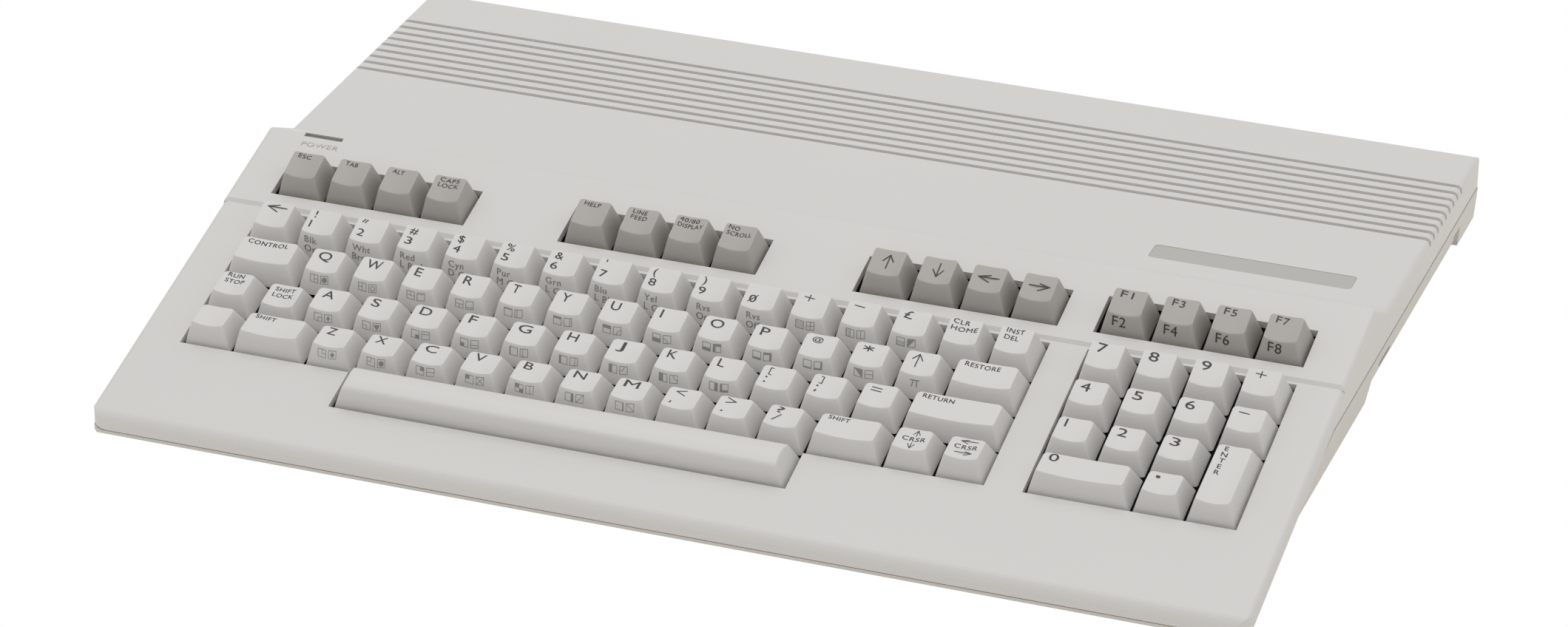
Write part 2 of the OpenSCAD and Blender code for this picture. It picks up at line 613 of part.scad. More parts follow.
// ---- electronics --------------------------------------------------------------------
module main_circuit_board() {
  edge = pan_in - 1;
  color("#2e6b45") difference() {
    union() {
      block(-half_w + 34, half_w - 30.8, board_front, back_in - 0.5, board_under, board_top);
      block(half_w - 34.8, edge, recess_y0 + 2, recess_y1 + 2, board_under, board_top);
      block(tape_x - tape_half, tape_x + tape_half, back_in - 1, back_wall + 6, board_under, board_top);
      block(user_x - user_half, user_x + user_half, back_in - 1, back_wall + 6, board_under, board_top);
    }
    for (p = CASE_SCREWS) post(p, 10, board_under - 1, board_top + 1);
    for (p = BOARD_SCREWS) bore(p, small_screw_radius + gap, board_under - 1, board_top + 1);
  }
}
module board_screws() {
  color("#8f9296") for (p = BOARD_SCREWS)
    screw(p, small_screw_radius, 2.3, 1.3, board_top, board_thickness + 3, false);
}
sx1 = screw_x - 8;
sx0 = -sx1;
sy0 = board_front + 26;
sy1 = sy0 + 96;
vent_pitch = 1.1 * u;
module shield_top() {
  t = shield_metal;
  z1 = board_top + shield_height;
  color("#c4c8cc") difference() {
    block(sx0, sx1, sy0, sy1, board_top, z1);
    block(sx0 + t, sx1 - t, sy0 + t, sy1 - t, board_top - 1, z1 - t);
    for (i = [0:11]) block(sx0 + 22 + i * vent_pitch, sx0 + 26 + i * vent_pitch, sy0 + 20, sy1 - 20,
      z1 - t - 1, z1 + 1);
  }
}
module shield_bottom() {
  color("#9a9c9a") difference() {
    block(-half_w + 32, half_w - 36, board_front - 2, back_in - 4, floor_top, floor_top + 0.5);
    for (p = CASE_SCREWS) post(p, 10, floor_top - 1, floor_top + 2);
    for (p = BOARD_SCREWS) post(p, 9, floor_top - 1, floor_top + 2);
  }
}
module chip(x, y, wide, deep) {
  block(x - wide / 2, x + wide / 2, y - deep / 2, y + deep / 2, board_top, board_top + 4.6);
}
module logic_chips() {
  color("#26262a") {
    for (i = [0:3]) chip(sx0 + 32 + i * 3.25 * u, sy0 + 24, 52, 14);
    for (i = [0:3]) chip(sx0 + 26 + i * 2.31 * u, sy0 + 48, 37, 14);
  }
}
module memory_chips() {
  color("#303036") for (i = [0:7]) for (j = [0:1]) chip(sx0 + 22 + i * 1.36 * u, sy0 + 70 + j * 14, 20, 7);
}
module din_socket(x) {
  color("#2a2a2c") difference() {
    union() {
      block(x - 10, x + 10, back_in - 15, back_in - 0.5, board_top, socket_z + 8);
      translate([x, back_wall + 1.5, socket_z]) rotate([90, 0, 0])
        cylinder(r = din_radius, h = base_wall + 2.5, $fn = 32);
    }
    translate([x, back_wall + 3, socket_z]) rotate([90, 0, 0]) cylinder(r = plug_radius, h = 11, $fn = 32);
  }
}
module serial_socket() din_socket(serial_x);
module video_socket() din_socket(video_x);
dee = [[-8.4, 4.2], [8.4, 4.2], [7, -4.2], [-7, -4.2]];
dee_in = [[-7.7, 3.6], [7.7, 3.6], [6.4, -3.6], [-6.4, -3.6]];
module dee_socket(reach) {
  // faces +Y, wall inside at y = 0
  difference() {
    union() {
      block(-15.4, 15.4, -10, -0.5, -socket_z + board_top, 6.2);
      along_y(dee, -1, reach);
    }
    along_y(dee_in, -4, reach + 1);
  }
}
module monitor_socket() {
  color("#b9bcbf") translate([monitor_x, back_in, socket_z]) dee_socket(base_wall + 4);
}
module joystick_sockets() {
  color("#b9bcbf") for (y = joy_y) translate([pan_in, y, socket_z]) rotate([0, 0, -90])
    dee_socket(base_wall + 4);
}
module expansion_socket() {
  color("#2a2a2c") difference() {
    block(expansion_x - expansion_half, expansion_x + expansion_half, back_in - 16, back_wall - 0.5,
      board_top, board_top + 12);
    block(expansion_x - expansion_half + 2.5, expansion_x + expansion_half - 2.5, back_in - 8, back_wall + 1,
      board_top + 4, board_top + 8.5);
  }
}
module rf_modulator() {
  y1 = back_in - 0.5;
  slot = channel_travel + 3.6;
  color("#c4c8cc") difference() {
    union() {
      block(rf_x - 0.84 * u, rf_x + 1.73 * u, y1 - 40, y1, board_top, board_top + 17);
      translate([rf_x, back_wall + 5.5, socket_z]) rotate([90, 0, 0])
        cylinder(r = 4.2, h = base_wall + 7, $fn = 32);
    }
    translate([rf_x, back_wall + 6, socket_z]) rotate([90, 0, 0]) cylinder(r = 3.3, h = 8, $fn = 32);
    block(channel_x - slot / 2, channel_x + slot / 2, y1 - 3, y1 + 1,
      socket_z - 1.5 - fit, socket_z + 1.5 + fit);
  }
}
module channel_switch_slider() {
  x = channel_x - channel_travel / 2;
  color("#efece4") block(x - 1.6, x + 1.6, back_in - 3.5, back_wall + 1.8, socket_z - 1.5, socket_z + 1.5);
}
module reset_switch() {
  color("#303034") difference() {
    block(pan_in - 11, pan_in - 3, reset_y - 4.5, reset_y + 4.5, board_top, socket_z + 4);
    block(pan_in - 8, pan_in - 2, reset_y - 1.5 - fit, reset_y + 1.5 + fit,
      socket_z - 1.5 - fit, socket_z + 1.5 + fit);
  }
}
module reset_button() {
  h = reset_side / 2;
  color("#d9d6cd") {
    block(pan_in - 8 + reset_travel + 0.3, pan_in - 0.9, reset_y - 1.5, reset_y + 1.5,
      socket_z - 1.5, socket_z + 1.5);
    block(pan_in - 1, side_wall + 2.2, reset_y - h, reset_y + h, socket_z - h, socket_z + h);
  }
}
rocker_x = side_wall - 2.4;
module power_switch_body() {
  h = rocker_length / 2 + 0.9;
  color("#232326") difference() {
    union() {
      block(pan_in - 14, pan_in - 0.3, switch_y - h, switch_y + h, board_top, socket_z + 5);
      block(pan_in - 1, side_wall - 0.6, switch_y - h, switch_y + h, socket_z - 5, socket_z + 5);
    }
    block(pan_in - 9, side_wall + 1, switch_y - h + 0.6, switch_y + h - 0.6,
      socket_z - 4 - fit, socket_z + 4 + fit);
    translate([rocker_x, switch_y, 0]) cylinder(r = 1.3, h = socket_z + 4.6, $fn = 24);
  }
}
module power_switch_rocker() {
  l = rocker_length / 2 - 0.5;
  s = rocker_swing / 2;
  color("#2e2e32") translate([rocker_x, switch_y, 0]) rotate([0, 0, -s]) {
    translate([0, 0, socket_z - 4]) linear_extrude(8)
      polygon([[-3, -l + 1.5], [2, -l], [3.6, -l + 0.4], [1.9, 0], [3.6, l - 0.4], [2, l], [-3, l - 1.5]]);
    translate([0, 0, socket_z - 4.7]) cylinder(r = 0.9, h = 9.2, $fn = 24);
  }
}
module power_socket() {
  color("#232326") difference() {
    union() {
      block(pan_in - 14, pan_in - 0.3, power_y - 7.4, power_y + 7.4, board_top, socket_z + 6.4);
      block(pan_in - 1, side_wall - 0.4, power_y - 7.4, power_y + 7.4, socket_z - 6.4, socket_z + 6.4);
    }
    block(pan_in - 8, side_wall + 1, power_y - 5.4, power_y + 5.4, socket_z - 4.6, socket_z + 4.6);
  }
}

top_case();
bottom_case();
name_badge();
power_lamp_lens();
power_lamp();
case_screws();
rubber_feet();
keyboard_frame();
keyboard_circuit_board();
key_springs();
keyboard_screws();
keyboard_cable();
escape_key();
tab_key();
alternate_key();
caps_lock_key();
help_key();
line_feed_key();
column_switch_key();
no_scroll_key();
up_arrow_key();
down_arrow_key();
left_arrow_key();
right_arrow_key();
function_1_2_key();
function_3_4_key();
function_5_6_key();
function_7_8_key();
number_row_keys();
top_letter_keys();
middle_letter_keys();
bottom_letter_keys();
control_key();
restore_key();
shift_lock_key();
return_key();
left_shift_key();
right_shift_key();
space_bar();
numpad_keys();
numpad_enter_key();
numpad_zero_key();
main_circuit_board();
board_screws();
shield_top();
shield_bottom();
logic_chips();
memory_chips();
rf_modulator();
channel_switch_slider();
expansion_socket();
serial_socket();
video_socket();
monitor_socket();
joystick_sockets();
reset_switch();
reset_button();
power_switch_body();
power_switch_rocker();
power_socket();
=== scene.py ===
import math
import bpy
from mathutils import Matrix, Vector


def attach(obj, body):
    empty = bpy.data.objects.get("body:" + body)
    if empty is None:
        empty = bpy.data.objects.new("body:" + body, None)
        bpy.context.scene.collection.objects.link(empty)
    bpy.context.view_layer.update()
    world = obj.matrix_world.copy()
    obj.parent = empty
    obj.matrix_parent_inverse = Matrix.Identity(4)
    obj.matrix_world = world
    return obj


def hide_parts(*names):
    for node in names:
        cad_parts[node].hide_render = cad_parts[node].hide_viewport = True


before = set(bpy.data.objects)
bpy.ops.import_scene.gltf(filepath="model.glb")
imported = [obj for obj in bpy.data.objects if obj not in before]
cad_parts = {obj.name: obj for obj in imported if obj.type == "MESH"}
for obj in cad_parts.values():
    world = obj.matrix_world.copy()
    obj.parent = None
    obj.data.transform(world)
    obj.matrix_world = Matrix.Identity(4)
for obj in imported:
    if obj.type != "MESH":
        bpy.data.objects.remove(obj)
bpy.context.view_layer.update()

# Lengths are in mm, and MM turns them into metres, unless a comment says that they are in metres.
MM = 0.001
TILT = math.radians(14.6)          # keyboard deck against the table
DECK_FOOT = (0, -0.1161, 0.028)    # in metres, middle of the bottom letter row's front edge on the deck
DECK = Matrix.Translation(DECK_FOOT) @ Matrix.Rotation(TILT, 4, "X")
DECK_STEP = 1.0                    # the deck is this much higher behind its step
PITCH = 19.05                      # from key to key
GRID_KEYS = 20.75                  # width of the key grid in keys
LEFT = -GRID_KEYS * PITCH / 2      # left edge of the key grid


# ---------------------------------------------------------------- materials
MOTTLE_SCALE = 14.0                # per metre, so a patch is about 70 mm wide
BUMP_DEPTH = 0.05                  # depth of the grain as a share of its size


def linear(hex_colour):
    """The shader's colour for a hex sRGB colour."""
    out = []
    for i in (0, 2, 4):
        c = int(hex_colour[i:i + 2], 16) / 255
        out.append(c / 12.92 if c <= 0.04045 else ((c + 0.055) / 1.055) ** 2.4)
    return (*out, 1.0)


def add(tree, kind, **values):
    """Adds a shader node and sets its properties, or its inputs where it has no such property."""
    node = tree.nodes.new(kind)
    for key, value in values.items():
        if hasattr(node, key):
            setattr(node, key, value)
        else:
            node.inputs[key.replace("_", " ")].default_value = value
    return node


def material(name, colour, rough, metallic=0.0, ior=1.5, grain_mm=0.0, grain=0.0, mottle=0.0):
    """A shader whose grain is a fine bump of that size in mm, and whose mottle is a slow change of shade."""
    m = bpy.data.materials.new(name)
    m.use_nodes = True
    tree = m.node_tree
    shader = tree.nodes["Principled BSDF"]
    shader.inputs["Base Color"].default_value = linear(colour)
    shader.inputs["Roughness"].default_value = rough
    shader.inputs["Metallic"].default_value = metallic
    shader.inputs["IOR"].default_value = ior
    place = add(tree, "ShaderNodeTexCoord")
    if grain:
        noise = add(tree, "ShaderNodeTexNoise", Scale=1 / (grain_mm * MM), Detail=2.0)
        bump = add(tree, "ShaderNodeBump", Strength=grain, Distance=grain_mm * BUMP_DEPTH * MM)
        tree.links.new(place.outputs["Object"], noise.inputs["Vector"])
        tree.links.new(noise.outputs["Fac"], bump.inputs["Height"])
        tree.links.new(bump.outputs["Normal"], shader.inputs["Normal"])
    if mottle:
        slow = add(tree, "ShaderNodeTexNoise", Scale=MOTTLE_SCALE, Detail=3.0)
        vary = add(tree, "ShaderNodeMapRange", To_Min=1 - mottle, To_Max=1 + mottle)
        hue = add(tree, "ShaderNodeHueSaturation", Color=linear(colour))
        tree.links.new(place.outputs["Object"], slow.inputs["Vector"])
        tree.links.new(slow.outputs["Fac"], vary.inputs["Value"])
        tree.links.new(vary.outputs["Result"], hue.inputs["Value"])
        tree.links.new(hue.outputs["Color"], shader.inputs["Base Color"])
    return m


# moulded ABS with a spark-eroded grain: matt, a broad weak sheen on the roll and the creases
CASE = material("case_abs", "D1CFCC", 0.42, ior=1.53, grain_mm=0.5, grain=0.25, mottle=0.012)
CASE_LOW = material("case_abs_lower", "CFCCC6", 0.55, ior=1.53, grain_mm=0.5, grain=0.25, mottle=0.012)
# moulded ABS caps, smoother than the case: soft sheen in the dish
CAP = material("cap_abs", "D3D1CE", 0.42, ior=1.53, grain_mm=0.3, grain=0.12)
CAP_GREY = material("cap_abs_grey", "A8A49F", 0.42, ior=1.53, grain_mm=0.3, grain=0.12)
# pad-printed ink on the caps: dark on top, mid grey on the pale fronts, dark on the grey fronts
INKS = [material("ink_dark", "33322F", 0.5), material("ink_grey", "8E8C86", 0.5),
        material("ink_front_dark", "3E3C38", 0.5)]
DARK, GREY, DARK_FRONT = range(3)
# brushed, lacquered aluminium badge plate
BADGE = material("badge_plate", "B8B6B1", 0.45, metallic=0.35, grain_mm=0.4, grain=0.1)
# unlit lamp window of smoked clear plastic, and the red lamp body under it
LENS = material("lamp_window", "7E7C78", 0.25, ior=1.49)
LAMP = material("lamp_body", "B8503F", 0.3)
# black glass-filled plastic of sockets and switches: dull, near black
SOCKET = material("socket_plastic", "262628", 0.5)
FRAME = material("keyboard_frame_plastic", "2E2D2C", 0.6, grain_mm=0.5, grain=0.1)
# tinned sheet steel and zinc-plated screws: grey, soft reflections
TIN = material("tinned_steel", "C2C4C6", 0.35, metallic=1.0)
ZINC = material("zinc_screws", "A9ABAD", 0.35, metallic=1.0)
# green solder mask: smooth, with a clear sheen
BOARD = material("solder_mask", "1E5B36", 0.3)
# moulded epoxy of the chips: flat black
CHIP = material("chip_epoxy", "1F1F22", 0.55)
# rubber: black without a sheen
RUBBER = material("foot_rubber", "252525", 0.8)
# plain card of the insulating sheet, and vinyl of the flat cable: dull
SHEET = material("insulating_sheet", "8E8C86", 0.6)
RIBBON = material("ribbon_cable", "BDBAB2", 0.5)
# ABS letters raised on the case, a little duller than the case round them, and tinted a little darker than it
# as painted shade of their relief
EMBOSS_SHADE = material("raised_letters_painted_shade", "CECBC6", 0.6, ior=1.53)


# ---------------------------------------------------------------- mesh helpers
CASE_SMOOTH = 24                   # degrees, and edges flatter than this are shaded smooth
PLAIN_SMOOTH = 30
CAP_SMOOTH = 40
SOFT_EDGE = 30                     # degrees, and edges of the case sharper than this are rounded
SQUARE = ((-1, -1), (1, -1), (1, 1), (-1, 1))


def paint(node, mat):
    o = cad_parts[node]
    o.data.materials.clear()
    o.data.materials.append(mat)
    return o


def piece(name, verts, faces, body, mats, index=None, smooth=True):
    """Builds a mesh from points in metres and lets it ride on a CAD body."""
    me = bpy.data.meshes.new(name)
    me.from_pydata([tuple(v) for v in verts], [], faces)
    for m in mats:
        me.materials.append(m)
    if index:
        me.polygons.foreach_set("material_index", index)
    me.polygons.foreach_set("use_smooth", [smooth] * len(me.polygons))
    me.update()
    o = bpy.data.objects.new(name, me)
    bpy.context.scene.collection.objects.link(o)
    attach(o, body)
    return o


def smooth_angle(o, degrees):
    """Smooth shading below this edge angle, as a modifier."""
    group = bpy.data.node_groups.new("smooth_angle", "GeometryNodeTree")
    for way in ("INPUT", "OUTPUT"):
        group.interface.new_socket("Geometry", in_out=way, socket_type="NodeSocketGeometry")
    start = group.nodes.new("NodeGroupInput")
    end = group.nodes.new("NodeGroupOutput")
    faces = group.nodes.new("GeometryNodeSetShadeSmooth")
    edges = group.nodes.new("GeometryNodeSetShadeSmooth")
    edges.domain = "EDGE"
    edges.inputs["Shade Smooth"].default_value = False
    angle = group.nodes.new("GeometryNodeInputMeshEdgeAngle")
    sharp = group.nodes.new("FunctionNodeCompare")
    sharp.operation = "GREATER_THAN"
    sharp.inputs[1].default_value = math.radians(degrees)
    link = group.links.new
    link(start.outputs[0], faces.inputs["Geometry"])
    link(faces.outputs[0], edges.inputs["Geometry"])
    link(angle.outputs["Unsigned Angle"], sharp.inputs[0])
    link(sharp.outputs[0], edges.inputs["Selection"])
    link(edges.outputs[0], end.inputs[0])
    o.modifiers.new("smooth_angle", "NODES").node_group = group


def soften(o, width, segments):
    """Rounds the moulded edges of a case shell."""
    m = o.modifiers.new("edges", "BEVEL")
    m.width = width * MM
    m.segments = segments
    m.limit_method = "ANGLE"
    m.angle_limit = math.radians(SOFT_EDGE)
    m.miter_outer = "MITER_ARC"
    m.use_clamp_overlap = False
    smooth_angle(o, CASE_SMOOTH)


def post(verts, faces, z0, z1, cx=0.0):
    """Adds a key's square stem round cx."""
    b = len(verts)
    verts += [(cx + sx * STEM, sy * STEM, z) for z in (z0, z1) for sx, sy in SQUARE]
    faces += [(b, b + 3, b + 2, b + 1), (b + 4, b + 5, b + 6, b + 7)]
    faces += [(b + i, b + (i + 1) % 4, b + 4 + (i + 1) % 4, b + 4 + i) for i in range(4)]


# ---------------------------------------------------------------- key caps
# top of a cap in each row: rear edge's y and z, front edge's y and z round the key's centre, and the
# radius of the rear corners
ROWS = {
    "fn": (6.1, 9.5, -5.56, 7.87, 1.2),
    "r1": (5.65, 8.8, -5.7, 7.5, 0.9),
    "r2": (5.57, 7.45, -5.78, 7.03, 1.7),
    "r3": (5.73, 6.23, -5.92, 6.58, 1.8),
    "r4": (5.67, 6.06, -5.6, 7.14, 1.8),
}
GAP = 1.05                         # between the skirts of neighbouring caps
SKIRT = -2.6                       # lower edge of the caps, along the deck's normal
LEAN = 2.85                        # how far a cap's side leans in from the skirt to the top
DISH = 1.1                         # depth of the dish in the top
DISH_RIM = 0.3                     # level rim on each side of the dish
FADE = 0.75                        # share of the dish that is gone at the rear edge
SKIRT_CORNER = 1.0                 # radius of the rear corners at the skirt
FRONT_CORNER = 1.1                 # radius of the front corners
LEAST_CORNER = 0.2
CORNER_LOSS = 0.6                  # what a corner's radius loses for each mm of inset
CORNER_STEPS = 5
SIDE_STEPS = 6
SIDE_LEVELS = (0.0, 0.35, 0.7, 0.93)                               # shares of the height
RIM = ((0.03, 0.18), (0.1, 0.06), (0.24, 0.01), (0.5, 0.0))        # inset, and how far below the top
TOP_SHARES = (0.8, 0.55, 0.3, 0.08)                                # rings from the rim to the middle
SHELL = 1.3                        # wall of a cap
ROOF = 1.2                         # plastic between the dish and the hollow under it
HOLLOW_LEVEL = 0.6                 # the hollow narrows as the cap does up to this share of the height
STEM = 2.5                         # half the width of a stem
STEM_END = -9.4                    # lower end of a stem
STEM_SUNK = 0.2                    # how far a stem reaches into the roof
LATCHED = 2.0                      # how far down the shift lock stays
PRINT_LIFT = 0.05                  # print over the top
FRONT_LIFT = 0.04                  # print before the front
PRINT_SLIDE = (0.45, -1.13)        # in x and y, for each mm by which the dish has faded
FRONT_LEAN = 0.957                 # height of each mm of print on the leaning front


class Cap:
    """The outside of one cap, on the deck and round the cap's own centre."""

    def __init__(self, x, y, w, h, row, down):
        self.cx = LEFT + (x + w / 2) * PITCH
        self.cy = (y + h / 2) * PITCH
        self.hx = w * PITCH / 2 - GAP / 2
        self.hy = h * PITCH / 2 - GAP / 2
        self.down = down
        longer = (h - 1) * PITCH / 2
        rear_y, self.rz, front_y, self.fz, self.rear_corner = ROWS[row]
        self.ry, self.fy = rear_y + longer, front_y - longer
        self.left = -(self.hx - LEAN)              # left edge of the top
        self.half = self.hx - LEAN - DISH_RIM      # half the width of the dish
        self.r = (self.half ** 2 + DISH ** 2) / (2 * DISH)

    def hollow(self, x, y):
        """How far the dish has faded at a point, and how deep it would be."""
        a = min(abs(x), self.half)
        share = min(max((y - self.fy) / (self.ry - self.fy), 0.0), 1.0)
        return share * FADE, DISH - self.r + math.sqrt(self.r ** 2 - a * a)

    def top(self, x, y):
        """Height of the top surface, dished most at the front."""
        z = self.fz + (self.rz - self.fz) * (y - self.fy) / (self.ry - self.fy)
        faded, deep = self.hollow(x, y)
        return z - deep * (1 - faded)

    def outline(self, t, inset=0.0):
        """Rounded outline at the share t of the height."""
        side = self.hx - LEAN * t - inset
        front = -self.hy + (self.fy + self.hy) * t + inset
        rear = self.hy + (self.ry - self.hy) * t - inset
        rear_r = SKIRT_CORNER + (self.rear_corner - SKIRT_CORNER) * t
        rear_r, front_r = (max(r - inset * CORNER_LOSS, LEAST_CORNER) for r in (rear_r, FRONT_CORNER))
        corners = []
        for i, (x, y, r) in enumerate([(side, rear, rear_r), (-side, rear, rear_r),
                                       (-side, front, front_r), (side, front, front_r)]):
            cx = x - math.copysign(r, x)
            cy = y - r if i < 2 else y + r
            turns = [math.radians(90 * (i + j / CORNER_STEPS)) for j in range(CORNER_STEPS + 1)]
            corners.append([(cx + r * math.cos(a), cy + r * math.sin(a)) for a in turns])
        points = []
        for corner, following in zip(corners, corners[1:] + corners[:1]):
            (x0, y0), (x1, y1) = corner[-1], following[0]
            points += corner
            points += [(x0 + (x1 - x0) * j / SIDE_STEPS, y0 + (y1 - y0) * j / SIDE_STEPS)
                       for j in range(1, SIDE_STEPS)]
        return points

    def mesh(self):
        """Side, rim and dish as rings from the skirt up, then the hollow underside and the stem."""
        rings = []
        for t in SIDE_LEVELS:
            rings.append([(x, y, SKIRT + (self.top(x, y) - SKIRT) * t) for x, y in self.outline(t)])
        for inset, low in RIM:
            rings.append([(x, y, self.top(x, y) - low) for x, y in self.outline(1.0, inset)])
        edge, middle = rings[-1], (self.ry + self.fy) / 2
        for s in TOP_SHARES:
            ring = [(x * s, middle + (y - middle) * s) for x, y, z in edge]
            rings.append([(x, y, self.top(x, y)) for x, y in ring])
        n, last = len(edge), (len(rings) - 1) * len(edge)
        verts, faces = [v for ring in rings for v in ring], []
        for a in range(0, last, n):
            faces += [(a + j, a + (j + 1) % n, a + n + (j + 1) % n, a + n + j) for j in range(n)]
        faces.append(tuple(range(last, last + n)))

        b, roof = len(verts), min(self.rz, self.fz) - DISH - ROOF
        for t, z in ((0.0, SKIRT), (HOLLOW_LEVEL, roof)):
            verts += [(x, y, z) for x, y in self.outline(t, SHELL)]
        for j in range(n):
            k = (j + 1) % n
            faces.append((k, j, b + j, b + k))
            faces.append((b + k, b + j, b + n + j, b + n + k))
        faces.append(tuple(b + n + j for j in reversed(range(n))))
        post(verts, faces, STEM_END, roof + STEM_SUNK)
        return verts, faces

    def place(self, x, y, z):
        return DECK @ (Vector((self.cx + x, self.cy + y, z - self.down)) * MM)

    def on_top(self, x, y):
        """A point of the print, slid forward and right where the dish has faded."""
        faded, deep = self.hollow(x, y)
        x, y = x + PRINT_SLIDE[0] * faded * deep, y + PRINT_SLIDE[1] * faded * deep
        return self.place(x, y, self.top(x, y) + PRINT_LIFT)

    def on_front(self, x, y):
        """A point of the print on the front face, with y measured up from the top edge."""
        h = self.top(x, self.fy)
        z = h + y * FRONT_LEAN
        t = (z - SKIRT) / (h - SKIRT)
        return self.place(x, -self.hy + (self.fy + self.hy) * t - FRONT_LIFT, z)


BAR_KEYS = 9                       # length of the space bar in keys
BAR_MIDDLE = 8                     # keys from the left edge of the grid
BAR_REAR = ((0.0, SKIRT), (1.3, 1.5), (2.55, 5.2))     # in from the rear edge, and height
BAR_FRONT = ((2.35, 5.6), (1.3, 1.6), (0.0, SKIRT))    # in from the front edge, and height
BAR_ROUND = 16.0                   # radius of the crown
BAR_REACH = 5.9                    # half the depth of the crown
BAR_CROWN_STEPS = 12
BAR_CROWN_BASE = 6.15              # height at which the crown starts
BAR_FALL = math.atan2(-0.7, 11.2)  # the crown is turned, so its rear is lower
BAR_SIDE = 5.9                     # height at which an end has leaned in by LEAN
BAR_END = 1.1                      # radius of the edge round an end
BAR_END_STEPS = (0.0, 0.25, 0.6, 1.1, 1.8, 3.0)        # in from an end
BAR_END_NARROW = 0.09              # share of its depth that an end loses for each mm rounded off
BAR_END_LOWER = 0.55               # drop of an end for each mm rounded off
BAR_LOWER_FROM, BAR_LOWER_OVER = 2.0, 6.0              # height where the drop starts, and the rise to its full
BAR_STEMS = (-2.75, 0, 2.75)       # keys from the middle
BAR_STEM_TOP = 3.8


def bar_mesh():
    """Space bar: crowned top, leaning ends with a rounded edge."""
    hx, hy = BAR_KEYS * PITCH / 2 - GAP / 2, PITCH / 2 - GAP / 2
    profile = [(hy - inward, z) for inward, z in BAR_REAR]
    for i in range(BAR_CROWN_STEPS + 1):
        y = BAR_REACH * (1 - 2 * i / BAR_CROWN_STEPS)
        z = math.sqrt(BAR_ROUND ** 2 - y * y) - math.sqrt(BAR_ROUND ** 2 - BAR_REACH ** 2)
        profile.append((y * math.cos(BAR_FALL) - z * math.sin(BAR_FALL),
                        y * math.sin(BAR_FALL) + z * math.cos(BAR_FALL) + BAR_CROWN_BASE))
    profile += [(-hy + inward, z) for inward, z in BAR_FRONT]
    lean = LEAN / (BAR_SIDE - SKIRT)
    stations = [(-1, s) for s in BAR_END_STEPS] + [(1, s) for s in reversed(BAR_END_STEPS)]
    verts, faces = [], []
    for side, inward in stations:
        drop = max(0.0, BAR_END - inward)
        lost = BAR_END - math.sqrt(max(0.0, BAR_END ** 2 - drop ** 2))
        for y, z in profile:
            low = lost * BAR_END_LOWER * max(0.0, (z - BAR_LOWER_FROM) / BAR_LOWER_OVER)
            verts.append((side * (hx - lean * (z - SKIRT) - inward), y * (1 - lost * BAR_END_NARROW), z - low))
    n, last = len(profile), (len(stations) - 1) * len(profile)
    for a in range(0, last, n):
        faces += [(a + j, a + j + 1, a + n + j + 1, a + n + j) for j in range(n - 1)]
    faces.append(tuple(reversed(range(n))))
    faces.append(tuple(range(last, last + n)))
    for s in BAR_STEMS:
        post(verts, faces, STEM_END, BAR_STEM_TOP, s * PITCH)
    return verts, faces


# ---------------------------------------------------------------- printing
WORDS = {}                         # meshes of the words drawn so far
LETTER_SPACE = 1.1
LETTER_STEPS = 4
SPREAD = 0.04                      # how far a printed stroke spreads
DISC_SIDES = 16
SYMBOL_LINE = 0.24                 # width of the lines of a block symbol
SYMBOL_DISC, SYMBOL_RING = 0.36, (0.34, 0.24)          # radii as shares of the symbol's side
# places in a symbol, in tenths of its side: ends of the arms, ends of the slants, and middle and start of
# the quarter circles, with their radius
ARMS = {"a": (0, 5), "b": (10, 5), "c": (5, 10), "d": (5, 0)}
SLANTS = {"/": ((0, 0), (10, 10)), "\\": ((0, 10), (10, 0))}
QUARTERS = {"q00": (0, 0, 0), "q10": (10, 0, 90), "q11": (10, 10, 180), "q01": (0, 10, 270)}
QUARTER_REACH = 6


def word_mesh(text):
    """Flat mesh of a word with its baseline at 0, scaled to a capital of height 1, and its width."""
    if text not in WORDS:
        c = bpy.data.curves.new("word", "FONT")
        c.space_character = LETTER_SPACE
        c.resolution_u = LETTER_STEPS
        o = bpy.data.objects.new("word", c)
        bpy.context.scene.collection.objects.link(o)
        c.body = "H"
        bpy.context.view_layer.update()
        tall = o.dimensions.y
        c.body = text
        bpy.context.view_layer.update()
        me = o.evaluated_get(bpy.context.evaluated_depsgraph_get()).to_mesh()
        left = min(v.co.x for v in me.vertices)
        points = [((v.co.x - left) / tall, v.co.y / tall) for v in me.vertices]
        WORDS[text] = (points, [tuple(p.vertices) for p in me.polygons], max(x for x, y in points))
        bpy.data.objects.remove(o)
        bpy.data.curves.remove(c)
    return WORDS[text]


def circle(x, y, r):
    turns = [2 * math.pi * i / DISC_SIDES for i in range(DISC_SIDES)]
    return [(x + r * math.cos(a), y + r * math.sin(a)) for a in turns]


